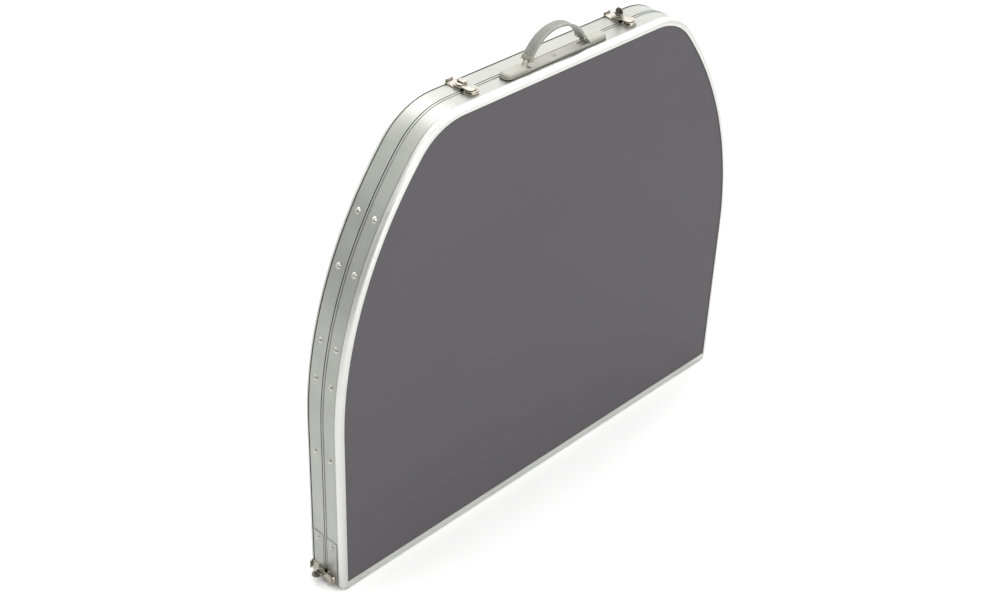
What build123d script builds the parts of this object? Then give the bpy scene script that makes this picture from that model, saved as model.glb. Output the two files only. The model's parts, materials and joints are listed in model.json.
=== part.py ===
from build123d import *
import math
import os

# Brochure rack: two shallow arched trays hinged like a book.  Closed it is a flat case with a
# carrying handle; open it stands on its two straight lower edges and shows four rows of leaflets.
# Units are millimetres.  X is the width, Y the depth (front at -Y), Z is up from the floor, and
# the origin is on the floor, midway along the width, in the parting plane of the two trays.

# ---- driving dimensions -------------------------------------------------------------------
WIDTH = 800.0            # outside width of the case
HEIGHT = 681.0           # outside height
SPRING = 266.0           # height up to which the sides are straight
SIDE_RADIUS = 591.5      # outer radius of the long side arcs
TOP_RADIUS = 102.3       # outer radius of the two upper corners
# heights, and then places across the top, where the lengths of the rim's band butt
BAND_CUTS = (-1.0, 30.0, SPRING, 336.0, 372.0, 420.0, 480.0, 530.0, 580.0, 625.0)
CROWN_CUTS = (-WIDTH / 2, -180.0, -100.0, 100.0, 180.0, WIDTH / 2)
FOOT_RADIUS = 9.0        # outer radius of the two lower corners
TRAY_DEPTH = 34.4        # depth of one tray, parting plane to face
PARTING_GAP = 1.5        # gap between the two rims when closed

# ---- rim extrusion (insets are measured inwards from the outer outline) -----------------------
WALL = 2.4               # wall thickness with its lip
LIP_DEPTH = 3.2          # end of the raised lip beside the parting gap
LIP_HEIGHT = 0.8         # the band lies this much below the lip
GROOVE_START = 25.0
GROOVE_END = 26.2
GROOVE_INSET = 1.7
GROOVE_BACKING = 0.9     # the wall is this much thicker behind the groove
NOSE_RADIUS = 7.5        # rounded outer corner of the rim
FACE_BORDER = 10.3       # width of the rim seen on the face
SLOT_INSET = 5.0         # bottom of the slot that holds the panel
FLANGE_START = 28.7      # inner flange behind the panel
PANEL_BACK = 30.2
PANEL_FACE = 33.2
PANEL_PLAY = 0.3

# ---- bottom rail ------------------------------------------------------------------------------
RAIL_BORDER = 14.0       # height of the rail on the face
RAIL_FACE = 34.1
RAIL_NOSE = 4.0
RAIL_SLOT = 8.0
RAIL_LINE_HEIGHT = 5.4   # fine line along the rail's face
RAIL_LINE_WIDTH = 0.9
RAIL_LINE_DEPTH = 0.5

# ---- cross bars and ledge inside each tray ------------------------------------------------------
BAR_FRONT = 3.5          # depth of the bars' show face
BAR_THICK = 2.0
BAR_HEIGHT = 18.0
TAB_DEPTH = 22.5         # the bars' end tabs run back to here along the wall
BAR_PLAY = 0.05          # between a tab and the wall
RIVET_DEPTH = 15.0       # rivet line, measured from the parting plane
CORNER_RIVET_HEIGHT = 71.0
BARS = {                 # heights of the bars' middles
    "lower_toe_bar": CORNER_RIVET_HEIGHT,
    "lower_retaining_bar": 225.0,
    "upper_toe_bar": 399.0,
    "upper_middle_bar": 498.0,
    "upper_retaining_bar": 565.0,
}
LEDGE_HEIGHT = 344.0
LEDGE_BACK = 24.6
LEDGE_LIP = 12.0
LEDGE_TAB = 18.0

# ---- corner plates and brackets -----------------------------------------------------------------
PLATE_TOP = 82.0
PLATE_START = 10.0
PLATE_EDGES = (4.2, 24.0)
BRACKET_THICK = 1.5
BRACKET_LEG = 84.0
BRACKET_FOOT = 52.0
BRACKET_EDGES = (6.2, 24.0)
BRACKET_RADIUS = 7.6
RAIL_RIVET_X = 358.0

# ---- rivets -------------------------------------------------------------------------------------
RIVET_HEAD = 9.6
RIVET_RISE = 2.3
SHANK = 3.2
TAIL_HEAD = 7.2
TAIL_RISE = 1.4
HOLE_PLAY = 0.1
TAIL_PLAY = 0.08
HOLE_LENGTH = 16.0       # long enough to pass through every layer that a rivet joins

# ---- side hinge -----------------------------------------------------------------------------------
HINGE_LOW = 92.0
HINGE_HIGH = 212.0
KNUCKLES = 5
KNUCKLE_RADIUS = 3.0
PIN_RADIUS = 1.5
PIN_PLAY = 0.08
HINGE_AXIS_X = 403.3
LEAF_THICK = 1.6
LEAF_EDGE = 22.0
HINGE_RIVET_STEP = 36.0
LEAF_PLAY = 0.2          # between a leaf and the lip it steps over
LEAF_LIP_PLAY = 0.1      # between a leaf's step and the top of the lip
LEAF_STEP = (0.9, 5.2)   # the step beside the knuckles, measured from the parting plane
KNUCKLE_PLAY = 0.4
KNUCKLE_POCKET = 0.35    # clearance cut in the other leaf around a knuckle
PIN_HEAD = 4.6
PIN_HEAD_RISE = 1.2
PIN_OVERHANG = 0.3
HINGE_RIVET = {"head": 7.0, "rise": 1.5, "shank": SHANK, "tail": 6.0, "tail_rise": 1.2}

# ---- twist latches (u runs from the back tray to the front one, v along the rim, n outwards) -----
LATCH_X = 150.0          # the two top latches sit this far either side of the middle
LATCH_SIDE_HEIGHT = 13.0
PIVOT_U = -8.0
BASE_U = (-30.5, -1.4)
BASE_HALF = 8.5
BASE_CORNER = 3.0
BASE_TOP = 1.0
BOSS_RADIUS = 6.2
BOSS_TOP = 2.0
REST_HALF = 6.5          # rolled rest at the back end of the base
REST_THICK = 1.2
REST_TOP = 4.8
SEAT_PLAY = 0.2          # between a latch plate and the edges of the band it sits in
OVER_LIP = 0.05          # a latch plate passes this much above the lip
STUD_RADIUS = 2.4
STUD_PLAY = 0.08
STUD_FLOOR = 0.3         # gap under the stud
STUD_START = 0.5         # the stud starts this much above a sunk seat
STUD_SHORT_START = 0.4   # and this high on a flat one
HUB_RADIUS = 3.4
HUB_PLAY = 0.15
CRANK = 2.0              # throw of the eccentric hub
DISC_RADIUS = 6.8
DISC = (4.5, 5.8)
LUG_U = 5.4              # the wing's lugs stand this far from the pivot
LUG_HALF = 0.7
LUG_RADIUS = 1.6
LUG_ROOT = 0.2           # the lugs are sunk into the disc by this much
LINK = (2.4, 3.9)        # thickness of the link where it lies over the hub
LINK_STEP = 1.9          # the link rises by this much over the keeper
LINK_JOGGLE = (-0.8, 1.0)
LINK_HALF = 8.0
LINK_TIP = 17.0
LINK_TAIL = 1.9          # material behind the hub's slot
LINK_TAIL_CORNER = 3.0
LINK_NOSE = 6.5
LINK_SLOT_PLAY = (0.9, 0.4)
LINK_PIPS = (7.4, 13.0)  # the two round pips on the link's nose
PIP = (3.6, 0.9)
WING_AXIS = 7.4
WING_BARREL = 1.3
WING_NECK = 4.4          # half width between the lugs
WING_CENTRE = 3.1        # height of the oval's middle above the wing's axis
WING_RISE = 6.4
WING_HALF = 6.6
WING_ROOT = 2.0          # below this the wing is only as wide as its neck
WING_THICK = 1.8
WING_EDGE = 0.6
TRUNNION_RADIUS = 0.7
TRUNNION_PLAY = 0.08
TRUNNION_REACH = 6.0
KEEPER_U = (4.2, 20.4)
KEEPER_HALF = 8.9
KEEPER_NOSE = 7.0
KEEPER_TOP = 3.8
BRIDGE_U = (5.4, 19.4)
BRIDGE_HALF = 7.9
BRIDGE_NOSE = 6.0
BRIDGE_GAP_U = (7.6, 17.4)
BRIDGE_THICK = 1.2
BASE_RIVETS = ((-21.0, -4.0), (-21.0, 4.0))
KEEPER_RIVETS = ((12.5, 0.0),)
LATCH_RIVET = {"head": 4.6, "rise": 0.9, "shank": 3.2, "tail": 0}
REACH = 20.0             # half size of cutting blocks, larger than any latch piece

# ---- carrying handle --------------------------------------------------------------------------------
HANDLE_HALF = 96.0       # half length of the base plate
HANDLE_EDGES = (1.2, 21.6)
HANDLE_PLATE_TOP = 1.6
HANDLE_CORNER = 8.0
FOOT_SETBACK = (9.0, 0.4, 2.4)   # foot's distance from the plate's ends, front and back edges
CAP_INNER = 60.0
CAP_TOP = 7.2
CAP_SETBACK = (0.8, 0.6)         # the cap's distance from the plate's end and sides
CAP_CORNER = 7.0
CAP_EDGE = 4.4
TUNNEL_DEPTH = 18.0
TUNNEL_PLAY = 0.1
GRIP_RADIUS = 58.7
GRIP_TOP = 47.0
GRIP_THICK = 4.6
GRIP_WIDTH = 16.0
GRIP_SWEEP = 60.0        # half angle of the ribbed grip
WELT = 2.6               # width of the raised welt along each long edge
WELT_RISE = 0.5
COLLAR_SWEEP = 66.0      # the collars end here
COLLAR_RISE = 0.4
COLLAR_OVERHANG = 0.6
LOOP_AXIS = 4.6          # height of the handle's turning axis above the rim
LOOP_SHAFT = 1.6
LOOP_SETBACK = 3.0       # the shaft stands out of the cap by this much
LOOP_INSERT = 15.0
LOOP_PRONG = 1.1
LOOP_YOKE = 1.4          # radius of the bar that joins the two prongs
LOOP_YOKE_LENGTH = 10.2
LOOP_POCKET = (6.5, 6.0, 5.5, -0.2)   # setback, half length, half width and floor under the yoke
PRONG_Y = 3.8
RAIL_TOP = 2.3           # low edges along the handle's base plate
RAIL_WIDTH = 1.4
SCREW_HEAD = (6.4, 1.3)
SCREW_RADIUS = 1.6
SCREW_PLAY = 0.1
SCREW_END = -3.4         # the screw's lower end, seen from the rim
SCREW_SLOT = (8.0, 0.9, 0.7)


# ---- outline of the arch -----------------------------------------------------------------------------

SIDE_CX = WIDTH / 2 - SIDE_RADIUS
TOP_CY = HEIGHT - TOP_RADIUS
TOP_CX = SIDE_CX + math.sqrt((SIDE_RADIUS - TOP_RADIUS) ** 2 - (TOP_CY - SPRING) ** 2)
ARC_ANGLE = math.degrees(math.atan2(TOP_CY - SPRING, TOP_CX - SIDE_CX))


def outline(inset, bottom=None, foot_radius=0.0):
    """The arch's outline moved inwards by inset, drawn flat: x is the width, y the height."""
    half = WIDTH / 2 - inset
    top = HEIGHT - inset
    low = inset if bottom is None else bottom
    side_r = SIDE_RADIUS - inset
    top_r = TOP_RADIUS - inset
    turn = 90 - ARC_ANGLE
    edges = [
        Line((-half, low), (half, low)),
        Line((half, low), (half, SPRING)),
        CenterArc((SIDE_CX, SPRING), side_r, 0, ARC_ANGLE),
        CenterArc((TOP_CX, TOP_CY), top_r, ARC_ANGLE, turn),
        Line((TOP_CX, top), (-TOP_CX, top)),
        CenterArc((-TOP_CX, TOP_CY), top_r, 90, turn),
        CenterArc((-SIDE_CX, SPRING), side_r, 180 - ARC_ANGLE, ARC_ANGLE),
        Line((-half, SPRING), (-half, low)),
    ]
    face = make_face(edges)
    if foot_radius > 0:
        feet = [v for v in face.vertices() if abs(v.Y - low) < 0.01]
        face = fillet(feet, foot_radius)
    return face


def ring(outer, inner, start, end):
    """A layer of the rim between two insets and two depths, still lying flat."""
    outer_face = outline(outer, foot_radius=FOOT_RADIUS - outer)
    inner_face = outline(inner, foot_radius=max(FOOT_RADIUS - inner, 0))
    layer = extrude(outer_face - inner_face, end - start)
    return Pos(0, 0, start) * layer


def slab(width, low, high, start, end):
    """A box centred on x = 0, between two heights and two depths, lying flat."""
    middle = Pos(0, (low + high) / 2, (start + end) / 2)
    return middle * Box(width, high - low, end - start)


def rim_point(height, inset, side):
    """Point on the rim's side at a height, and the direction of its outward normal (flat frame)."""
    rise = max(height - SPRING, 0.0)
    radius = SIDE_RADIUS - inset
    angle = math.asin(rise / radius)
    x = SIDE_CX + radius * math.cos(angle)
    normal = Vector(side * math.cos(angle), math.sin(angle), 0)
    return Vector(side * x, height, 0), normal


# ---- rivets ------------------------------------------------------------------------------------------

def dome(diameter, rise):
    """A shallow round head, flat side on the local plane z = 0."""
    radius = (rise ** 2 + (diameter / 2) ** 2) / (2 * rise)
    ball = Pos(0, 0, rise - radius) * Sphere(radius)
    keep = Pos(0, 0, rise / 2) * Cylinder(diameter / 2, rise)
    return ball & keep


def rivet(grip, head=RIVET_HEAD, rise=RIVET_RISE, shank=SHANK, tail=TAIL_HEAD, tail_rise=TAIL_RISE):
    """A rivet along local z: head above z = 0, tail below z = -grip."""
    body = dome(head, rise)
    body += Pos(0, 0, -grip / 2) * Cylinder(shank / 2, grip)
    if tail > 0:
        body += Pos(0, 0, -grip) * mirror(dome(tail, tail_rise), about=Plane.XY)
    return body


def rivet_hole(shank=SHANK, length=HOLE_LENGTH):
    return Cylinder(shank / 2 + HOLE_PLAY, length)


def frame_rivet_places():
    """Planes on the band where the side rivets sit, one per bar end and one per corner plate."""
    places = []
    for height in [*BARS.values(), LEDGE_HEIGHT]:
        inset = 0.0 if height == CORNER_RIVET_HEIGHT else LIP_HEIGHT
        for side in (-1, 1):
            point, normal = rim_point(height, inset, side)
            origin = Vector(point.X, point.Y, RIVET_DEPTH)
            places.append((height, Plane(origin=origin, x_dir=(0, 0, 1), z_dir=normal)))
    return places


def cut_rivet_holes(shape):
    for _, place in frame_rivet_places():
        shape -= place.location * rivet_hole()
    return shape


def frame_rivets():
    pieces = []
    for height, place in frame_rivet_places():
        grip = WALL + BAR_PLAY + BAR_THICK + TAIL_PLAY
        grip += BRACKET_THICK if height == CORNER_RIVET_HEIGHT else -LIP_HEIGHT
        pieces.append(place.location * rivet(grip))
    for side in (-1, 1):
        head = Plane(origin=(side * RAIL_RIVET_X, WALL + BRACKET_THICK, RIVET_DEPTH), z_dir=(0, 1, 0))
        pieces.append(head.location * rivet(WALL + BRACKET_THICK, tail=0))
    return pieces


# ---- the pieces of one tray, lying flat with the parting plane at z = 0 ------------------------------

def arch_frame():
    frame = ring(0, WALL, PARTING_GAP / 2, LIP_DEPTH)
    frame += ring(LIP_HEIGHT, WALL, LIP_DEPTH, GROOVE_START)
    frame += ring(GROOVE_INSET, WALL + GROOVE_BACKING, GROOVE_START, GROOVE_END)
    frame += ring(0, SLOT_INSET, GROOVE_END, TRAY_DEPTH)
    frame += ring(SLOT_INSET, FACE_BORDER, FLANGE_START, PANEL_BACK)
    frame += ring(SLOT_INSET, FACE_BORDER, PANEL_FACE, TRAY_DEPTH)
    half = WIDTH / 2 - FACE_BORDER
    frame -= slab(2 * half, -1, RAIL_BORDER, 0, TRAY_DEPTH + 1)
    outer = [e for e in frame.edges() if on_nose_edge(e)]
    frame = fillet(outer, NOSE_RADIUS)
    return Compound(children=lengths_of_rim(cut_rivet_holes(frame)))


def lengths_of_rim(frame):
    """The rim's band and its face border, both in short lengths that butt against each other."""
    pieces = []
    for start, end in ((0, FLANGE_START), (FLANGE_START, TRAY_DEPTH + 1)):
        layer = frame & slab(2 * WIDTH, -1, HEIGHT + 1, start, end)
        for low, high in zip(BAND_CUTS, BAND_CUTS[1:]):
            pieces += (layer & slab(2 * WIDTH, low, high, start, end)).solids()
        for left, right in zip(CROWN_CUTS, CROWN_CUTS[1:]):
            crown = block((left, right), (BAND_CUTS[-1], HEIGHT + 1), (start, end))
            pieces += (layer & crown).solids()
    return pieces


def on_nose_edge(edge):
    """True for the outermost edges of the face, which the nose rounds."""
    middle = edge @ 0.5
    if abs(middle.Z - TRAY_DEPTH) > 0.01 or abs((edge @ 0).Z - (edge @ 1).Z) > 0.01:
        return False
    if middle.Y < FOOT_RADIUS and abs(middle.X) < WIDTH / 2 - FOOT_RADIUS:
        return middle.Y < 0.1
    return distance_inside(middle) < 0.1


def distance_inside(point):
    """How far a point lies inside the outer outline, for points near the rim."""
    x = abs(point.X)
    if point.Y < FOOT_RADIUS and x > WIDTH / 2 - FOOT_RADIUS:
        across = math.hypot(x - (WIDTH / 2 - FOOT_RADIUS), point.Y - FOOT_RADIUS)
        return FOOT_RADIUS - across
    if point.Y < SPRING:
        return WIDTH / 2 - x
    angle = math.degrees(math.atan2(point.Y - SPRING, x - SIDE_CX))
    if angle <= ARC_ANGLE:
        return SIDE_RADIUS - math.hypot(x - SIDE_CX, point.Y - SPRING)
    if x > TOP_CX:
        return TOP_RADIUS - math.hypot(x - TOP_CX, point.Y - TOP_CY)
    return HEIGHT - point.Y


def bottom_rail():
    """The floor web of a tray, and the face rail with the slot that holds the panel."""
    length = WIDTH - 2 * FACE_BORDER
    floor_web = slab(length, 0, WALL, PARTING_GAP / 2, FLANGE_START)
    rail = slab(length, 0, RAIL_SLOT, FLANGE_START, RAIL_FACE)
    rail += slab(length, RAIL_SLOT, RAIL_BORDER, FLANGE_START, PANEL_BACK)
    rail += slab(length, RAIL_SLOT, RAIL_BORDER, PANEL_FACE, RAIL_FACE)
    nose = [e for e in rail.edges().filter_by(Axis.X)
            if abs((e @ 0).Z - RAIL_FACE) < 0.01 and abs((e @ 0).Y) < 0.01]
    rail = fillet(nose, RAIL_NOSE)
    line_low = RAIL_LINE_HEIGHT - RAIL_LINE_WIDTH / 2
    line_high = RAIL_LINE_HEIGHT + RAIL_LINE_WIDTH / 2
    rail -= slab(length + 2, line_low, line_high, RAIL_FACE - RAIL_LINE_DEPTH, RAIL_FACE + 1)
    for side in (-1, 1):
        hole = Plane(origin=(side * RAIL_RIVET_X, 0, RIVET_DEPTH), z_dir=(0, 1, 0))
        floor_web -= hole.location * rivet_hole()
    return Compound(children=[floor_web.solid(), rail.solid()])


def panel():
    sheet = outline(SLOT_INSET + PANEL_PLAY, bottom=RAIL_SLOT + PANEL_PLAY)
    return Pos(0, 0, PANEL_BACK) * extrude(sheet, PANEL_FACE - PANEL_BACK)


def tray_slice(low, high, start, end, inset):
    """What a horizontal slice between two depths holds inside an inset outline."""
    solid = Pos(0, 0, start) * extrude(outline(inset), end - start)
    return solid & slab(WIDTH, low, high, start - 1, end + 1)


def end_clips(low, high, start, inset):
    """The two clips at the ends of a bar or ledge: flat tabs that follow the rim's inside."""
    tabs = tray_slice(low, high, start, TAB_DEPTH, inset)
    tabs -= tray_slice(low - 1, high + 1, start - 1, TAB_DEPTH + 1, inset + BAR_THICK)
    return cut_rivet_holes(tabs).solids()


def cross_bar(height):
    """A flat bar across the tray with a clip welded on at each end, back along the rim.

    The lowest bar's clips lie on the corner brackets, the others on the rim itself.
    """
    low = height - BAR_HEIGHT / 2
    high = height + BAR_HEIGHT / 2
    inset = WALL + BAR_PLAY
    if height == CORNER_RIVET_HEIGHT:
        inset += BRACKET_THICK
    strip = tray_slice(low, high, BAR_FRONT, BAR_FRONT + BAR_THICK, inset + BAR_THICK)
    return Compound(children=[strip.solid(), *end_clips(low, high, BAR_FRONT, inset)])


def shelf_ledge():
    """A shelf across the tray, with a low lip in front and a clip welded on at each end."""
    inset = WALL + BAR_PLAY
    low = LEDGE_HEIGHT - LEDGE_TAB / 2
    shelf_top = LEDGE_HEIGHT + LEDGE_TAB / 2
    shelf_low = shelf_top - BAR_THICK
    shelf = tray_slice(shelf_low, shelf_top, BAR_FRONT, LEDGE_BACK, inset)
    shelf += tray_slice(shelf_top, shelf_top + LEDGE_LIP, BAR_FRONT, BAR_FRONT + BAR_THICK, inset)
    return Compound(children=[shelf.solid(), *end_clips(low, shelf_low, BAR_FRONT, inset)])


def corner_plate(side):
    """Thin plate let into the outside of the band at a lower corner."""
    start, end = PLATE_EDGES
    x = side * (WIDTH / 2 - LIP_HEIGHT / 2)
    middle = Pos(x, (PLATE_START + PLATE_TOP) / 2, (start + end) / 2)
    return cut_rivet_holes(middle * Box(LIP_HEIGHT, PLATE_TOP - PLATE_START, end - start))


def corner_bracket(side):
    """Angle inside a lower corner, joining the rim's leg to the bottom rail."""
    start, end = BRACKET_EDGES
    x = WIDTH / 2 - WALL
    legs = Polyline(
        (x, WALL), (x, BRACKET_LEG), (x - BRACKET_THICK, BRACKET_LEG),
        (x - BRACKET_THICK, WALL + BRACKET_THICK), (x - BRACKET_FOOT, WALL + BRACKET_THICK),
        (x - BRACKET_FOOT, WALL), close=True)
    face = make_face(legs)
    outer = [v for v in face.vertices() if abs(v.X - x) < 0.01 and abs(v.Y - WALL) < 0.01]
    face = fillet(outer, BRACKET_RADIUS)
    inner = [v for v in face.vertices()
             if abs(v.X - x + BRACKET_THICK) < 0.01 and abs(v.Y - WALL - BRACKET_THICK) < 0.01]
    face = fillet(inner, BRACKET_RADIUS - BRACKET_THICK)
    bracket = Pos(0, 0, start) * extrude(face, end - start)
    if side < 0:
        bracket = mirror(bracket, about=Plane.YZ)
    hole = Plane(origin=(side * RAIL_RIVET_X, 0, RIVET_DEPTH), z_dir=(0, 1, 0))
    bracket -= hole.location * rivet_hole()
    return cut_rivet_holes(bracket)


def tray_nodes():
    nodes = {
        "arch_frame": arch_frame(),
        "bottom_rail": bottom_rail(),
        "panel": panel(),
        "corner_plate_left": corner_plate(-1),
        "corner_plate_right": corner_plate(1),
        "corner_bracket_left": corner_bracket(-1),
        "corner_bracket_right": corner_bracket(1),
        "shelf_ledge": shelf_ledge(),
        "frame_rivets": Compound(children=frame_rivets()),
    }
    for name, height in BARS.items():
        nodes[name] = cross_bar(height)
    return nodes


def place_tray(shape, front):
    """Stand a flat tray piece up, as the front tray or mirrored as the back one."""
    standing = Rot(90, 0, 0) * shape
    return standing if front else mirror(standing, about=Plane.XZ)


# ---- side hinge: vertical axis outside the right rim, in the parting plane --------------------------

def hinge_leaf(front):
    """One leaf with its knuckles; the back leaf has the odd ones, the front leaf the even ones."""
    sign = -1 if front else 1
    height = HINGE_HIGH - HINGE_LOW
    middle = (HINGE_HIGH + HINGE_LOW) / 2
    band_x = WIDTH / 2 - LIP_HEIGHT
    lip_x = WIDTH / 2 + LEAF_LIP_PLAY
    flat_start = LIP_DEPTH + LEAF_PLAY
    flat = Box(LEAF_THICK, LEAF_EDGE - flat_start, height)
    leaf = Pos(band_x + LEAF_THICK / 2, sign * (LEAF_EDGE + flat_start) / 2, middle) * flat
    step = Box(LEAF_THICK, LEAF_STEP[1] - LEAF_STEP[0], height)
    leaf += Pos(lip_x + LEAF_THICK / 2, sign * sum(LEAF_STEP) / 2, middle) * step
    pitch = height / KNUCKLES
    for index in range(KNUCKLES):
        low = HINGE_LOW + index * pitch
        centre = Pos(HINGE_AXIS_X, 0, low + pitch / 2)
        mine = (index % 2 == 1) == front
        if mine:
            leaf += centre * Cylinder(KNUCKLE_RADIUS, pitch - KNUCKLE_PLAY)
        else:
            leaf -= centre * Cylinder(KNUCKLE_RADIUS + KNUCKLE_POCKET, pitch + KNUCKLE_PLAY / 2)
    leaf -= Pos(HINGE_AXIS_X, 0, middle) * Cylinder(PIN_RADIUS + PIN_PLAY, 2 * height)
    for place in hinge_rivet_places(front):
        leaf -= place.location * rivet_hole()
    return leaf


def hinge_pin():
    """The pin is held by the back leaf's knuckles and has a small head at each end."""
    height = HINGE_HIGH - HINGE_LOW
    middle = Pos(HINGE_AXIS_X, 0, (HINGE_HIGH + HINGE_LOW) / 2)
    pin = middle * Cylinder(PIN_RADIUS, height + 2 * PIN_OVERHANG)
    for z, flip in ((HINGE_LOW - PIN_OVERHANG, 180), (HINGE_HIGH + PIN_OVERHANG, 0)):
        pin += Pos(HINGE_AXIS_X, 0, z) * Rot(flip, 0, 0) * dome(PIN_HEAD, PIN_HEAD_RISE)
    return pin


def hinge_rivet_places(front):
    sign = -1 if front else 1
    middle = (HINGE_HIGH + HINGE_LOW) / 2
    x = WIDTH / 2 - LIP_HEIGHT + LEAF_THICK
    return [Plane(origin=(x, sign * RIVET_DEPTH, middle + step * HINGE_RIVET_STEP), z_dir=(1, 0, 0))
            for step in (-1, 0, 1)]


def hinge_rivets(front):
    grip = LEAF_THICK + WALL - LIP_HEIGHT
    return [place.location * rivet(grip, **HINGE_RIVET) for place in hinge_rivet_places(front)]


# ---- twist latches: each piece drawn in the latch's own u, v, n frame -------------------------------

LATCHES = {
    "latch_top_left": Plane(origin=(-LATCH_X, 0, HEIGHT), x_dir=(0, -1, 0), z_dir=(0, 0, 1)),
    "latch_top_right": Plane(origin=(LATCH_X, 0, HEIGHT), x_dir=(0, -1, 0), z_dir=(0, 0, 1)),
    "latch_side": Plane(origin=(-WIDTH / 2, 0, LATCH_SIDE_HEIGHT), x_dir=(0, -1, 0), z_dir=(-1, 0, 0)),
}


def block(u, v, n):
    """A box between two values of each of u, v and n."""
    size = [b - a for a, b in (u, v, n)]
    return Pos(*[(a + b) / 2 for a, b in (u, v, n)]) * Box(*size)


def rounded_plate(u, half, n, radius, ends):
    """A plate with the corners at the given ends rounded; ends holds -1, 1 or both."""
    plate = block(u, (-half, half), n)
    corners = [e for e in plate.edges().filter_by(Axis.Z)
               if any(abs(e.center().X - (u[0] if end < 0 else u[1])) < 0.01 for end in ends)]
    return fillet(corners, radius)


def latch_base(seat):
    """Base plate on the back rim: turning boss in front, a rolled rest for the wing behind."""
    base = rounded_plate(BASE_U, BASE_HALF, (seat, BASE_TOP), BASE_CORNER, (-1,))
    if seat < 0:
        base -= block((-LIP_DEPTH - SEAT_PLAY, REACH), (-REACH, REACH), (-REACH, OVER_LIP))
        base -= block((-2 * REACH, -GROOVE_START + SEAT_PLAY), (-REACH, REACH), (-REACH, OVER_LIP))
    base += Pos(PIVOT_U, 0, (BASE_TOP + BOSS_TOP) / 2) * Cylinder(BOSS_RADIUS, BOSS_TOP - BASE_TOP)
    back = BASE_U[0]
    roll_height = REST_TOP - REST_THICK
    base += block((back, back + REST_THICK), (-REST_HALF, REST_HALF), (OVER_LIP, roll_height))
    roll = Rot(90, 0, 0) * Cylinder(REST_THICK, 2 * REST_HALF)
    base += Pos(back + REST_THICK, 0, roll_height) * roll
    bore = Cylinder(STUD_RADIUS + STUD_PLAY, REACH)
    base -= Pos(PIVOT_U, 0, stud_bottom(seat) - STUD_FLOOR + REACH / 2) * bore
    for u, v in BASE_RIVETS:
        base -= Pos(u, v, 0) * rivet_hole(LATCH_RIVET["shank"])
    return base


def stud_bottom(seat):
    return seat + STUD_START if seat < 0 else STUD_SHORT_START


def latch_cam(seat):
    """Turning piece: stud in the base, eccentric hub that drives the link, disc with wing lugs."""
    bottom = stud_bottom(seat)
    hub_low = BOSS_TOP + HUB_PLAY
    cam = Pos(PIVOT_U, 0, (bottom + hub_low) / 2) * Cylinder(STUD_RADIUS, hub_low - bottom)
    cam += Pos(PIVOT_U - CRANK, 0, (hub_low + DISC[0]) / 2) * Cylinder(HUB_RADIUS, DISC[0] - hub_low)
    cam += Pos(PIVOT_U, 0, sum(DISC) / 2) * Cylinder(DISC_RADIUS, DISC[1] - DISC[0])
    for side in (-1, 1):
        u = PIVOT_U + side * LUG_U
        lug = block((u - LUG_HALF, u + LUG_HALF), (-LUG_RADIUS, LUG_RADIUS),
                    (DISC[1] - LUG_ROOT, WING_AXIS))
        lug += Pos(u, 0, WING_AXIS) * Rot(0, 90, 0) * Cylinder(LUG_RADIUS, 2 * LUG_HALF)
        cam += lug
    trunnion_hole = Rot(0, 90, 0) * Cylinder(TRUNNION_RADIUS + TRUNNION_PLAY, REACH)
    cam -= Pos(PIVOT_U, 0, WING_AXIS) * trunnion_hole
    return cam


def latch_wing(fold):
    """Oval thumb wing between the cam's lugs; fold turns it about its barrel, along u."""
    barrel = Rot(0, 90, 0) * Cylinder(WING_BARREL, 2 * WING_NECK)
    trunnions = Rot(0, 90, 0) * Cylinder(TRUNNION_RADIUS, 2 * TRUNNION_REACH)
    neck = block((-WING_NECK, WING_NECK), (-WING_THICK / 2, WING_THICK / 2), (0, WING_CENTRE))
    oval = extrude(Ellipse(WING_HALF, WING_RISE), WING_THICK / 2, both=True)
    blade = Pos(0, 0, WING_CENTRE) * Rot(90, 0, 0) * oval
    blade = fillet(blade.edges(), WING_EDGE)
    blade -= block((-REACH, REACH), (-REACH, REACH), (-REACH, WING_ROOT))
    wing = barrel + trunnions + neck + blade
    return Pos(PIVOT_U, 0, WING_AXIS) * Rot(fold, 0, 0) * wing


def latch_link():
    """Draw plate: an eye round the hub, a joggle over the parting gap and a rounded nose."""
    low, high = LINK
    rear = PIVOT_U - CRANK
    slot_u = HUB_RADIUS + LINK_SLOT_PLAY[0]
    slot_v = HUB_RADIUS + CRANK + LINK_SLOT_PLAY[1]
    eye_u = (rear - slot_u - LINK_TAIL, LINK_JOGGLE[1])
    plate = rounded_plate(eye_u, LINK_HALF, (low, high), LINK_TAIL_CORNER, (-1,))
    plate += block(LINK_JOGGLE, (-LINK_HALF, LINK_HALF), (low, high + LINK_STEP))
    plate += rounded_plate((LINK_JOGGLE[0], LINK_TIP), LINK_HALF,
                           (low + LINK_STEP, high + LINK_STEP), LINK_NOSE, (1,))
    hole = extrude(SlotOverall(2 * slot_v, 2 * slot_u, rotation=90), high, both=True)
    plate -= Pos(rear, 0, low) * hole
    for u in LINK_PIPS:
        plate += Pos(u, 0, high + LINK_STEP) * dome(*PIP)
    return plate


def latch_keeper(seat):
    """Keeper on the front rim: a foot plate and a rounded bridge under the link's nose."""
    keeper = rounded_plate(KEEPER_U, KEEPER_HALF, (seat, BASE_TOP), KEEPER_NOSE, (1,))
    keeper += rounded_plate(BRIDGE_U, BRIDGE_HALF, (BASE_TOP, KEEPER_TOP), BRIDGE_NOSE, (1,))
    keeper -= block(BRIDGE_GAP_U, (-REACH, REACH), (BASE_TOP, KEEPER_TOP - BRIDGE_THICK))
    for u, v in KEEPER_RIVETS:
        keeper -= Pos(u, v, 0) * rivet_hole(LATCH_RIVET["shank"], 2 * (KEEPER_TOP - BRIDGE_THICK))
    return keeper


def latch_seat(name):
    """Height of a latch's seat over the lip: on the band at the top, on a corner plate below."""
    return 0.0 if name == "latch_side" else -LIP_HEIGHT


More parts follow.
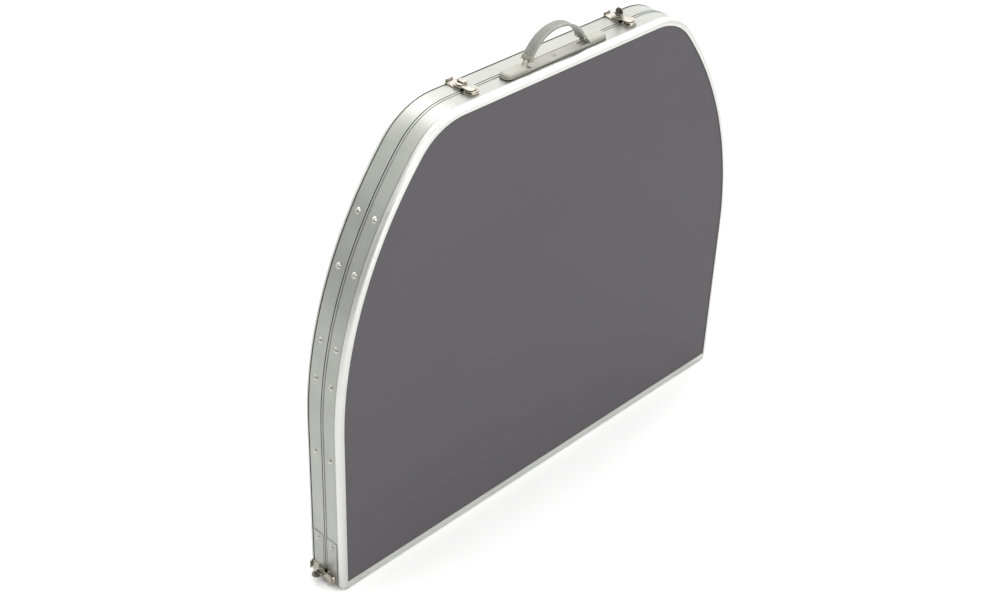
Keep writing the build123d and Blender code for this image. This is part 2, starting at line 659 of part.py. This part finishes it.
def latch_rivet_places(front):
    """Where the latch rivets sit, on top of the latches' foot plates."""
    spots = KEEPER_RIVETS if front else BASE_RIVETS
    return [place.location * Pos(u, v, BASE_TOP) for place in LATCHES.values() for u, v in spots]


def latch_rivets(front):
    grip = BASE_TOP + WALL
    return [place * rivet(grip, **LATCH_RIVET) for place in latch_rivet_places(front)]


def cut_latch_holes(shape, front):
    """Holes in the rim and corner plate for the latch rivets."""
    for place in latch_rivet_places(front):
        shape -= place * rivet_hole(LATCH_RIVET["shank"])
    return shape


# ---- carrying handle on the front tray's top ---------------------------------------------------------

HANDLE_Y = -(HANDLE_EDGES[0] + HANDLE_EDGES[1]) / 2
HANDLE_WIDTH = HANDLE_EDGES[1] - HANDLE_EDGES[0]
GRIP_CENTRE = GRIP_TOP - GRIP_RADIUS


def handle_frame():
    """Origin above the rim at the handle's middle: x along the rim, z up."""
    return Pos(0, HANDLE_Y, HEIGHT)


def handle_plate():
    """Long base plate: its middle is a shallow tray, its ends carry the two caps."""
    width = HANDLE_WIDTH
    plate_u = (-HANDLE_HALF, HANDLE_HALF)
    plate = rounded_plate(plate_u, width / 2, (0, HANDLE_PLATE_TOP), HANDLE_CORNER, (-1, 1))
    ends, front, back = FOOT_SETBACK
    foot_u = (-HANDLE_HALF + ends, HANDLE_HALF - ends)
    plate += block(foot_u, (front - width / 2, width / 2 - back), (-LIP_HEIGHT, 0))
    for edge in (-1, 1):
        v = edge * (width - RAIL_WIDTH) / 2
        rail_v = (v - RAIL_WIDTH / 2, v + RAIL_WIDTH / 2)
        plate += block((-CAP_INNER, CAP_INNER), rail_v, (HANDLE_PLATE_TOP, RAIL_TOP))
    setback, half_length, half_width, floor = LOOP_POCKET
    for side in (-1, 1):
        u = side * (CAP_INNER - setback)
        plate -= block((u - half_length, u + half_length), (-half_width, half_width), (floor, REACH))
    plate -= screw_hole()
    return handle_frame() * plate


def screw_hole():
    return Cylinder(SCREW_RADIUS + SCREW_PLAY, 2 * REACH)


def handle_cap(side):
    """Rounded end cap; its tunnel holds the handle's turning shaft."""
    length = HANDLE_HALF - CAP_INNER - CAP_SETBACK[0]
    half = HANDLE_WIDTH / 2 - CAP_SETBACK[1]
    cap = rounded_plate((0, length), half, (HANDLE_PLATE_TOP, CAP_TOP), CAP_CORNER, (1,))
    top = [e for e in cap.edges() if on_cap_rim(e)]
    cap = fillet(top, CAP_EDGE)
    cap -= Pos(0, 0, LOOP_AXIS) * Rot(0, 90, 0) * Cylinder(LOOP_SHAFT + TUNNEL_PLAY, 2 * TUNNEL_DEPTH)
    cap = Pos(CAP_INNER, 0, 0) * cap
    if side < 0:
        cap = mirror(cap, about=Plane.YZ)
    return handle_frame() * cap


def on_cap_rim(edge):
    """True for the edges round a cap's top, apart from the one at its inner face."""
    level = abs((edge @ 0).Z - CAP_TOP) < 0.01 and abs((edge @ 1).Z - CAP_TOP) < 0.01
    return level and (edge @ 0.5).X > 0.5


def arc_bar(start, end, radius_in, radius_out, width):
    """Part of a round arch in the x-z plane; the angles are counted from the top."""
    outer = CenterArc((0, 0), radius_out, 90 - end, end - start)
    inner = CenterArc((0, 0), radius_in, 90 - end, end - start)
    sides = [Line(outer @ 0, inner @ 0), Line(outer @ 1, inner @ 1)]
    face = make_face([outer, inner, *sides])
    bar = Pos(0, 0, -width / 2) * extrude(face, width)
    return Pos(0, 0, GRIP_CENTRE) * Rot(90, 0, 0) * bar


def handle_grip():
    """Arched strap grip with a raised welt along each long edge."""
    inner = GRIP_RADIUS - GRIP_THICK
    sweep = (-GRIP_SWEEP, GRIP_SWEEP)
    grip = arc_bar(*sweep, inner + WELT_RISE, GRIP_RADIUS - WELT_RISE, GRIP_WIDTH)
    welt = arc_bar(*sweep, inner, GRIP_RADIUS, WELT)
    for edge in (-1, 1):
        grip += Pos(0, edge * (GRIP_WIDTH - WELT) / 2, 0) * welt
    return handle_frame() * grip


def handle_collar(side):
    """Pressed sleeve that closes the end of the grip and takes the loop's prongs."""
    inner = GRIP_RADIUS - GRIP_THICK - COLLAR_RISE
    outer = GRIP_RADIUS + COLLAR_RISE
    collar = arc_bar(GRIP_SWEEP, COLLAR_SWEEP, inner, outer, GRIP_WIDTH + 2 * COLLAR_OVERHANG)
    if side < 0:
        collar = mirror(collar, about=Plane.YZ)
    return handle_frame() * collar


def handle_loop(side):
    """Turning shaft in the cap's tunnel with two prongs that run up to the collar."""
    shaft_in = CAP_INNER - LOOP_SETBACK
    shaft_out = CAP_INNER + LOOP_INSERT
    middle = (shaft_in + shaft_out) / 2
    loop = Pos(middle, 0, LOOP_AXIS) * Rot(0, 90, 0) * Cylinder(LOOP_SHAFT, shaft_out - shaft_in)
    yoke = Rot(90, 0, 0) * Cylinder(LOOP_YOKE, LOOP_YOKE_LENGTH)
    loop += Pos(shaft_in, 0, LOOP_AXIS) * yoke
    angle = math.radians(COLLAR_SWEEP)
    radius = GRIP_RADIUS - GRIP_THICK / 2
    foot = Vector(shaft_in, 0, LOOP_AXIS)
    head = Vector(radius * math.sin(angle), 0, GRIP_CENTRE + radius * math.cos(angle))
    run = head - foot
    for edge in (-1, 1):
        prong = Plane(origin=foot + run / 2 + Vector(0, edge * PRONG_Y, 0), z_dir=run)
        loop += prong.location * Cylinder(LOOP_PRONG, run.length)
    if side < 0:
        loop = mirror(loop, about=Plane.YZ)
    return handle_frame() * loop


def handle_screw():
    """Pan-head screw with a slot, in the middle of the plate."""
    length = HANDLE_PLATE_TOP - SCREW_END
    screw = Pos(0, 0, HANDLE_PLATE_TOP) * dome(*SCREW_HEAD)
    screw += Pos(0, 0, SCREW_END + length / 2) * Cylinder(SCREW_RADIUS, length)
    slot_length, slot_width, slot_depth = SCREW_SLOT
    slot_bottom = HANDLE_PLATE_TOP + SCREW_HEAD[1] - slot_depth
    screw -= Pos(0, 0, slot_bottom + slot_depth) * Box(slot_length, slot_width, 2 * slot_depth)
    return handle_frame() * screw


# ---- all nodes ---------------------------------------------------------------------------------------

def all_nodes():
    nodes = {}
    for name, shape in tray_nodes().items():
        nodes["front_" + name] = place_tray(shape, True)
        nodes["back_" + name] = place_tray(shape, False)

    for front in (True, False):
        word = "front" if front else "back"
        nodes["hinge_leaf_" + word] = hinge_leaf(front)
        nodes["hinge_rivets_" + word] = Compound(children=hinge_rivets(front))
        rim = word + "_arch_frame"
        for place in hinge_rivet_places(front):
            nodes[rim] -= place.location * rivet_hole()
        nodes[rim] = cut_latch_holes(nodes[rim], front)
        plate = word + "_corner_plate_left"
        nodes[plate] = cut_latch_holes(nodes[plate], front)
    nodes["front_arch_frame"] -= handle_frame() * screw_hole()
    nodes["hinge_pin"] = hinge_pin()

    for name, place in LATCHES.items():
        seat = latch_seat(name)
        fold = 90.0 if name == "latch_top_left" else 0.0
        nodes[name + "_base"] = place.location * latch_base(seat)
        nodes[name + "_cam"] = place.location * latch_cam(seat)
        nodes[name + "_wing"] = place.location * latch_wing(-fold)
        nodes[name + "_link"] = place.location * latch_link()
        nodes[name + "_keeper"] = place.location * latch_keeper(seat)
    nodes["latch_base_rivets"] = Compound(children=latch_rivets(False))
    nodes["latch_keeper_rivets"] = Compound(children=latch_rivets(True))

    nodes["handle_plate"] = handle_plate()
    nodes["handle_grip"] = handle_grip()
    nodes["handle_screw"] = handle_screw()
    for side, word in ((-1, "left"), (1, "right")):
        nodes["handle_cap_" + word] = handle_cap(side)
        nodes["handle_collar_" + word] = handle_collar(side)
        nodes["handle_loop_" + word] = handle_loop(side)
    return nodes


os.makedirs("parts", exist_ok=True)
for node_name, node_shape in all_nodes().items():
    export_step(node_shape, "parts/" + node_name + ".step")
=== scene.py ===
import json
import math
import bpy
import bmesh
from mathutils import Matrix, Vector


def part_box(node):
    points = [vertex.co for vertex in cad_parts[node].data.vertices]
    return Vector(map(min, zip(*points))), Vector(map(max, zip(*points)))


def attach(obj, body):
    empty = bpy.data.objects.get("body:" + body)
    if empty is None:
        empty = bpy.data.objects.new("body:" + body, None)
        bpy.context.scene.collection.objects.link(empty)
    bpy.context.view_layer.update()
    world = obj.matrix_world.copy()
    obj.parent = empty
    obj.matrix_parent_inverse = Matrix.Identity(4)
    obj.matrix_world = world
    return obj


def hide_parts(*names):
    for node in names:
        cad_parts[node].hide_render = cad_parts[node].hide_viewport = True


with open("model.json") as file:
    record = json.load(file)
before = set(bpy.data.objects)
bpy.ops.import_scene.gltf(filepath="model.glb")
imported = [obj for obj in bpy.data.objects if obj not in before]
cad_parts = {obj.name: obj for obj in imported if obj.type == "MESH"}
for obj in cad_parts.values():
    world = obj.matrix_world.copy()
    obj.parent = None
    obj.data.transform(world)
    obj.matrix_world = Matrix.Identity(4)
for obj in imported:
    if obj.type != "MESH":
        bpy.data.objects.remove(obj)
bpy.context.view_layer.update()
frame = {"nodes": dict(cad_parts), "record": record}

# Looks of the closed brochure rack: an arched aluminium case with grey laminate panels.
# Metres, in the CAD frame: +X to the hinge side, -Y to the front panel, +Z up from the floor.

NODES = frame["nodes"]

# ---- camera -----------------------------------------------------------------------------------
CAMERA_PLACE = Vector((-1.4504, -1.3040, 1.6413))
CAMERA_YAW = 46.69       # degrees to the right of +Y
CAMERA_PITCH = 34.40     # degrees down
CAMERA_ROLL = 2.39
CAMERA_LENS = 59.85
SENSOR = 36.0
CAMERA_SHIFT = (-0.0075, -0.0119)

# ---- finishes and small shapes ------------------------------------------------------------------
BAND_LIGHT = (0.335, 0.340, 0.318)
BAND_DARK = (0.285, 0.290, 0.270)
# The nose's two lighter tones are painted highlight: colour standing in for the light the rounded nose
# catches
PAINTED_NOSE_HIGHLIGHT = (0.56, 0.565, 0.54)
PAINTED_NOSE_HIGHLIGHT_DIM = (0.51, 0.515, 0.49)
PAINTED_HIGHLIGHT_START = (0.0264, 0.0285)   # depth at which the satin band gives way to the nose's painted highlight
PANEL_LIGHT = (0.068, 0.0655, 0.0695)
PANEL_DARK = (0.065, 0.0625, 0.0665)
GRIP_SWEEP = 60.0        # half angle of the grip's arc, in degrees
WELT = 0.0026            # the strap's rounded edge welts
WELT_RISE = 0.0006
WELT_GROOVE = 0.0009
RIB_COUNT = 6
SECTION_STEPS = 96       # points across the strap
SWEEP_STEPS = 96         # rings along it
SHARP = math.radians(35)
SOFT_EDGES = {           # rounding of the hardware's edges, by finish
    "latch_nickel": 0.00035,
    "wing_metal": 0.0002,
    "handle_steel": 0.0003,
    "handle_plastic": 0.0005,
}

PLATED = {               # colour, tarnished colour and roughness
    "latch_nickel": ((0.42, 0.40, 0.35), (0.30, 0.28, 0.24), 0.26),
    "wing_metal": ((0.13, 0.115, 0.10), (0.07, 0.06, 0.05), 0.28),
    "rivet_steel": ((0.46, 0.45, 0.42), (0.30, 0.29, 0.27), 0.14),
    "hinge_steel": ((0.46, 0.46, 0.44), (0.36, 0.36, 0.34), 0.3),
    "handle_steel": ((0.30, 0.28, 0.24), (0.18, 0.17, 0.14), 0.22),
}
MOULDED = {              # colour, shaded colour and roughness
    "handle_plastic": ((0.25, 0.25, 0.22), (0.22, 0.22, 0.19), 0.42),
    "grip_vinyl": ((0.20, 0.20, 0.18), (0.16, 0.16, 0.145), 0.42),
}

# ---- light and floor ----------------------------------------------------------------------------
SKY_BRIGHT_SIDE = (0.45, 0.35, 0.82)
SKY_SPAN = (-0.35, 0.75) # how far towards the bright side the sky's two strengths are reached
SKY_TINT = (1.0, 1.0, 0.995, 1)
SKY_STRENGTH = (0.5, 2.1)
FLOOR_COLOUR = (0.72, 0.72, 0.72)
FLOOR_SIZE = 12
FLOOR_DROP = 0.0005      # the floor lies this far under the rack's feet
CASE_MIDDLE = (0, 0, 0.35)
SOFT_BOXES = {           # place, size and power of each studio light
    "top_box": ((0.5, 0.4, 2.4), (2.6, 2.0), 30),
    "front_box": ((1.5, -2.4, 1.4), (1.6, 1.6), 14),
    "low_front_box": ((-0.3, -2.6, 0.9), (1.4, 1.2), 16),
    "nose_box": ((-1.9, -1.9, 2.3), (1.2, 0.8), 16),
}


def add_camera():
    yaw, pitch, roll = (math.radians(a) for a in (CAMERA_YAW, CAMERA_PITCH, CAMERA_ROLL))
    ahead = Vector((math.sin(yaw) * math.cos(pitch), math.cos(yaw) * math.cos(pitch), -math.sin(pitch)))
    level = Vector((math.cos(yaw), -math.sin(yaw), 0.0))
    above = level.cross(ahead)
    right = level * math.cos(roll) + above * math.sin(roll)
    up = above * math.cos(roll) - level * math.sin(roll)
    data = bpy.data.cameras.new("camera")
    data.lens = CAMERA_LENS
    data.sensor_width = SENSOR
    data.shift_x, data.shift_y = CAMERA_SHIFT
    data.clip_start = 0.05
    camera = bpy.data.objects.new("camera", data)
    turn = Matrix((right, up, -ahead)).transposed()
    camera.matrix_world = Matrix.Translation(CAMERA_PLACE) @ turn.to_4x4()
    bpy.context.scene.collection.objects.link(camera)
    bpy.context.scene.camera = camera


# ---- floor and studio ---------------------------------------------------------------------------

def add_area(name, place, target, size, power):
    data = bpy.data.lights.new(name, "AREA")
    data.shape = "RECTANGLE"
    data.size, data.size_y = size
    data.energy = power
    light = bpy.data.objects.new(name, data)
    light.location = place
    aim = Vector(target) - Vector(place)
    light.rotation_euler = aim.to_track_quat("-Z", "Y").to_euler()
    bpy.context.scene.collection.objects.link(light)


def add_sky():
    """White studio dome, brightest overhead and to the back right, dimmer low on the left."""
    world = bpy.data.worlds.new("studio")
    bpy.context.scene.world = world
    world.use_nodes = True
    tree = world.node_tree
    sky = tree.nodes["Background"]
    direction = tree.nodes.new("ShaderNodeTexCoord").outputs["Generated"]
    toward = tree.nodes.new("ShaderNodeVectorMath")
    toward.operation = "DOT_PRODUCT"
    toward.inputs[1].default_value = SKY_BRIGHT_SIDE
    tree.links.new(direction, toward.inputs[0])
    ramp = tree.nodes.new("ShaderNodeMapRange")
    ramp.inputs["From Min"].default_value, ramp.inputs["From Max"].default_value = SKY_SPAN
    ramp.inputs["To Min"].default_value, ramp.inputs["To Max"].default_value = SKY_STRENGTH
    tree.links.new(toward.outputs["Value"], ramp.inputs["Value"])
    tree.links.new(ramp.outputs["Result"], sky.inputs["Strength"])
    sky.inputs["Color"].default_value = SKY_TINT


def add_studio():
    bpy.context.scene.view_settings.view_transform = "Standard"
    add_sky()
    for name, (place, size, power) in SOFT_BOXES.items():
        add_area(name, place, CASE_MIDDLE, size, power)

    bpy.ops.mesh.primitive_plane_add(size=FLOOR_SIZE, location=(0, 0, -FLOOR_DROP))
    floor = bpy.context.object
    floor.name = "floor"
    floor.data.materials.append(floor_material())


def floor_material():
    material = bpy.data.materials.new("floor")
    material.use_nodes = True
    shader = material.node_tree.nodes["Principled BSDF"]
    shader.inputs["Base Color"].default_value = (*FLOOR_COLOUR, 1)
    shader.inputs["Roughness"].default_value = 0.9
    shader.inputs["Specular IOR Level"].default_value = 0.1
    return material


# ---- materials ------------------------------------------------------------------------------

class Shade:
    """Short helper for building one procedural material."""

    def __init__(self, name, colour, metallic, roughness):
        self.material = bpy.data.materials.new(name)
        self.material.use_nodes = True
        self.tree = self.material.node_tree
        self.shader = self.tree.nodes["Principled BSDF"]
        self.shader.inputs["Metallic"].default_value = metallic
        self.shader.inputs["Roughness"].default_value = roughness
        self.shader.inputs["Base Color"].default_value = (*colour, 1)
        self.place = self.tree.nodes.new("ShaderNodeTexCoord").outputs["Object"]

    def link(self, source, target):
        self.tree.links.new(source, target)

    def noise(self, scale, stretch=(1, 1, 1), detail=3.0, rough=0.5):
        mapping = self.tree.nodes.new("ShaderNodeMapping")
        mapping.inputs["Scale"].default_value = stretch
        self.link(self.place, mapping.inputs["Vector"])
        node = self.tree.nodes.new("ShaderNodeTexNoise")
        node.inputs["Scale"].default_value = scale
        node.inputs["Detail"].default_value = detail
        node.inputs["Roughness"].default_value = rough
        self.link(mapping.outputs["Vector"], node.inputs["Vector"])
        return node.outputs["Fac"]

    def depth(self):
        """Distance from the parting plane."""
        parts = self.tree.nodes.new("ShaderNodeSeparateXYZ")
        self.link(self.place, parts.inputs[0])
        node = self.tree.nodes.new("ShaderNodeMath")
        node.operation = "ABSOLUTE"
        self.link(parts.outputs["Y"], node.inputs[0])
        return node.outputs[0]

    def spread(self, value, low, high, low_in=0.3, high_in=0.7):
        node = self.tree.nodes.new("ShaderNodeMapRange")
        node.inputs["From Min"].default_value = low_in
        node.inputs["From Max"].default_value = high_in
        node.inputs["To Min"].default_value = low
        node.inputs["To Max"].default_value = high
        self.link(value, node.inputs["Value"])
        return node.outputs["Result"]

    def blend(self, factor, first, second):
        node = self.tree.nodes.new("ShaderNodeMix")
        node.data_type = "RGBA"
        self.link(factor, node.inputs["Factor"])
        for socket, value in (("A", first), ("B", second)):
            target = [s for s in node.inputs if s.name == socket and s.type == "RGBA"][0]
            if isinstance(value, tuple):
                target.default_value = (*value, 1)
            else:
                self.link(value, target)
        return [s for s in node.outputs if s.type == "RGBA"][0]

    def add(self, first, second):
        node = self.tree.nodes.new("ShaderNodeMath")
        node.operation = "ADD"
        self.link(first, node.inputs[0])
        self.link(second, node.inputs[1])
        return node.outputs[0]

    def colour(self, source):
        self.link(source, self.shader.inputs["Base Color"])

    def roughness(self, source):
        self.link(source, self.shader.inputs["Roughness"])

    def bump(self, height, distance, strength=1.0):
        node = self.tree.nodes.new("ShaderNodeBump")
        node.inputs["Strength"].default_value = strength
        node.inputs["Distance"].default_value = distance
        self.link(height, node.inputs["Height"])
        self.link(node.outputs["Normal"], self.shader.inputs["Normal"])


def rim_material():
    """Satin anodised aluminium with extrusion lines along the rim, and a painted highlight that makes
    the face's nose brighter.
    """
    shade = Shade("rim_aluminium", BAND_LIGHT, 1.0, 0.34)
    lines = shade.noise(9.0, stretch=(0.35, 70.0, 0.35), detail=4.0)
    cloud = shade.noise(14.0, detail=5.0)
    grain = shade.noise(1900.0, detail=1.0)
    band = shade.blend(shade.spread(cloud, 0, 1), BAND_DARK, BAND_LIGHT)
    nose_highlight = shade.blend(shade.spread(cloud, 0, 1), PAINTED_NOSE_HIGHLIGHT_DIM, PAINTED_NOSE_HIGHLIGHT)
    # Painted highlight: past a set depth from the parting plane, the band colour gives way to the
    # lighter nose tones
    shade.colour(shade.blend(shade.spread(shade.depth(), 0, 1, *PAINTED_HIGHLIGHT_START), band, nose_highlight))
    shade.roughness(shade.add(shade.spread(lines, 0.27, 0.37), shade.spread(grain, 0.0, 0.06)))
    shade.bump(lines, 0.00012, 0.5)
    return shade.material


def inner_material():
    """Mill-finish aluminium of the bars, ledges and brackets."""
    shade = Shade("inner_aluminium", (0.55, 0.56, 0.56), 1.0, 0.4)
    lines = shade.noise(30.0, stretch=(0.2, 9.0, 9.0), detail=4.0)
    shade.colour(shade.blend(shade.spread(lines, 0, 1), (0.46, 0.47, 0.47), (0.58, 0.59, 0.59)))
    shade.roughness(shade.spread(lines, 0.3, 0.5))
    shade.bump(lines, 0.0001, 0.4)
    return shade.material


def panel_material():
    """Dark grey matt laminate with a very fine pearl texture."""
    shade = Shade("panel_laminate", PANEL_LIGHT, 0.0, 0.62)
    pearl = shade.noise(900.0, detail=2.0)
    cloud = shade.noise(3.0, detail=3.0)
    shade.colour(shade.blend(shade.spread(cloud, 0, 1), PANEL_DARK, PANEL_LIGHT))
    shade.roughness(shade.spread(pearl, 0.6, 0.75))
    shade.bump(pearl, 0.00006, 0.35)
    shade.shader.inputs["Specular IOR Level"].default_value = 0.15
    return shade.material


def plated_material(name, colour, dark, roughness):
    """Plated steel with faint polishing marks and a little tarnish."""
    shade = Shade(name, colour, 1.0, roughness)
    tarnish = shade.noise(260.0, detail=4.0, rough=0.6)
    marks = shade.noise(500.0, stretch=(1, 6, 1), detail=2.0)
    shade.colour(shade.blend(shade.spread(tarnish, 0, 1), dark, colour))
    shade.roughness(shade.spread(marks, roughness * 0.7, roughness * 1.4))
    shade.bump(marks, 0.00005, 0.4)
    return shade.material


def moulded_material(name, colour, shadow, roughness):
    """Moulded plastic with a fine spark-eroded grain."""
    shade = Shade(name, colour, 0.0, roughness)
    grain = shade.noise(1500.0, detail=2.0)
    cloud = shade.noise(60.0, detail=3.0)
    shade.colour(shade.blend(shade.spread(cloud, 0, 1), shadow, colour))
    shade.roughness(shade.spread(grain, roughness * 0.85, roughness * 1.15))
    shade.bump(grain, 0.00008, 0.5)
    return shade.material


def all_finishes():
    finishes = {
        "rim_aluminium": rim_material(),
        "inner_aluminium": inner_material(),
        "panel_laminate": panel_material(),
    }
    for name, (colour, dark, roughness) in PLATED.items():
        finishes[name] = plated_material(name, colour, dark, roughness)
    for name, (colour, shadow, roughness) in MOULDED.items():
        finishes[name] = moulded_material(name, colour, shadow, roughness)
    return finishes


def paint(piece, slot):
    piece.data.materials.clear()
    piece.data.materials.append(FINISHES[slot])


def paint_nodes():
    for part in frame["record"]["subparts"]:
        paint(NODES[part["node"]], part["material_slot"])


# ---- detailed pieces ------------------------------------------------------------------------

def body_of(node):
    bodies = frame["record"]["behaviour"]["bodies"]
    return next(body for body, nodes in bodies.items() if node in nodes)


def slot_of(node):
    return next(p["material_slot"] for p in frame["record"]["subparts"] if p["node"] == node)


def stand_for(mesh, node):
    """Put a detailed mesh in the place of a CAD node, with its body and finish."""
    piece = bpy.data.objects.new(node + "_detail", mesh)
    bpy.context.scene.collection.objects.link(piece)
    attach(piece, body_of(node))
    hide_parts(node)
    paint(piece, slot_of(node))
    return piece


def finish_mesh(bm, name, smooth_angle):
    mesh = bpy.data.meshes.new(name)
    bm.normal_update()
    bm.to_mesh(mesh)
    bm.free()
    mesh.shade_smooth()
    mesh.set_sharp_from_angle(angle=math.radians(smooth_angle))
    return mesh


def soften(node, width):
    """Round every sharp edge of a piece of hardware by a small radius."""
    bm = bmesh.new()
    bm.from_mesh(NODES[node].data)
    bmesh.ops.remove_doubles(bm, verts=bm.verts, dist=1e-6)
    bmesh.ops.dissolve_limit(bm, angle_limit=math.radians(0.5), verts=bm.verts, edges=bm.edges)
    sharp = [e for e in bm.edges if len(e.link_faces) == 2 and e.calc_face_angle(0) > SHARP]
    bmesh.ops.bevel(bm, geom=sharp, offset=width, segments=2, profile=0.5, affect="EDGES",
                    clamp_overlap=True)
    stand_for(finish_mesh(bm, node + "_soft", 40), node)


def grip_section(half_width, thickness):
    """Closed outline across the strap: (sideways, outward) from its inner face."""
    points = []
    for i in range(SECTION_STEPS + 1):
        v = -1 + 2 * i / SECTION_STEPS
        across = abs(v) * half_width
        edge = half_width - across
        if edge < WELT:
            t = edge / WELT * 2 - 1
            out = thickness - WELT_RISE + WELT_RISE * math.sqrt(max(0.0, 1 - t * t))
        elif edge < WELT + WELT_GROOVE:
            t = (edge - WELT) / WELT_GROOVE * math.pi
            out = thickness - WELT_RISE - 0.35 * WELT_RISE * math.sin(t)
        else:
            inner = half_width - WELT - WELT_GROOVE
            phase = across / inner * RIB_COUNT * math.pi
            out = thickness - WELT_RISE * (1.15 - 0.45 * math.cos(phase))
        points.append((v * half_width, out))
    for v in (1.0, 0.97, 0.9, 0.5, 0.0, -0.5, -0.9, -0.97, -1.0):
        low = thickness * (0.35 if abs(v) == 1 else 0.12 if abs(v) == 0.97 else 0.0)
        points.append((v * half_width, low))
    return points


def ribbed_grip():
    """Arched strap with lengthwise ribs between two rounded welts."""
    low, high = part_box("handle_grip")
    sweep = math.radians(GRIP_SWEEP)
    radius = (high[0] - low[0]) / 2 / math.sin(sweep)
    centre_z = high[2] - radius
    thickness = radius - (low[2] - centre_z) / math.cos(sweep)
    middle_x = (low[0] + high[0]) / 2
    middle_y = (low[1] + high[1]) / 2
    section = grip_section((high[1] - low[1]) / 2, thickness)
    bm = bmesh.new()
    rings = []
    for i in range(SWEEP_STEPS + 1):
        angle = sweep * (2 * i / SWEEP_STEPS - 1)
        ring = []
        for across, out in section:
            r = radius - thickness + out
            place = (middle_x + r * math.sin(angle), middle_y + across, centre_z + r * math.cos(angle))
            ring.append(bm.verts.new(place))
        rings.append(ring)
    count = len(section)
    for first, second in zip(rings, rings[1:]):
        for k in range(count):
            n = (k + 1) % count
            bm.faces.new((first[k], first[n], second[n], second[k]))
    bm.faces.new(rings[0])
    bm.faces.new(list(reversed(rings[-1])))
    bmesh.ops.recalc_face_normals(bm, faces=bm.faces)
    stand_for(finish_mesh(bm, "grip_ribbed", 50), "handle_grip")


def detail_hardware():
    for part in frame["record"]["subparts"]:
        node = part["node"]
        width = SOFT_EDGES.get(part["material_slot"])
        if width and node != "handle_grip" and "rivets" not in node:
            soften(node, width)


add_camera()
add_studio()
FINISHES = all_finishes()
paint_nodes()
ribbed_grip()
detail_hardware()
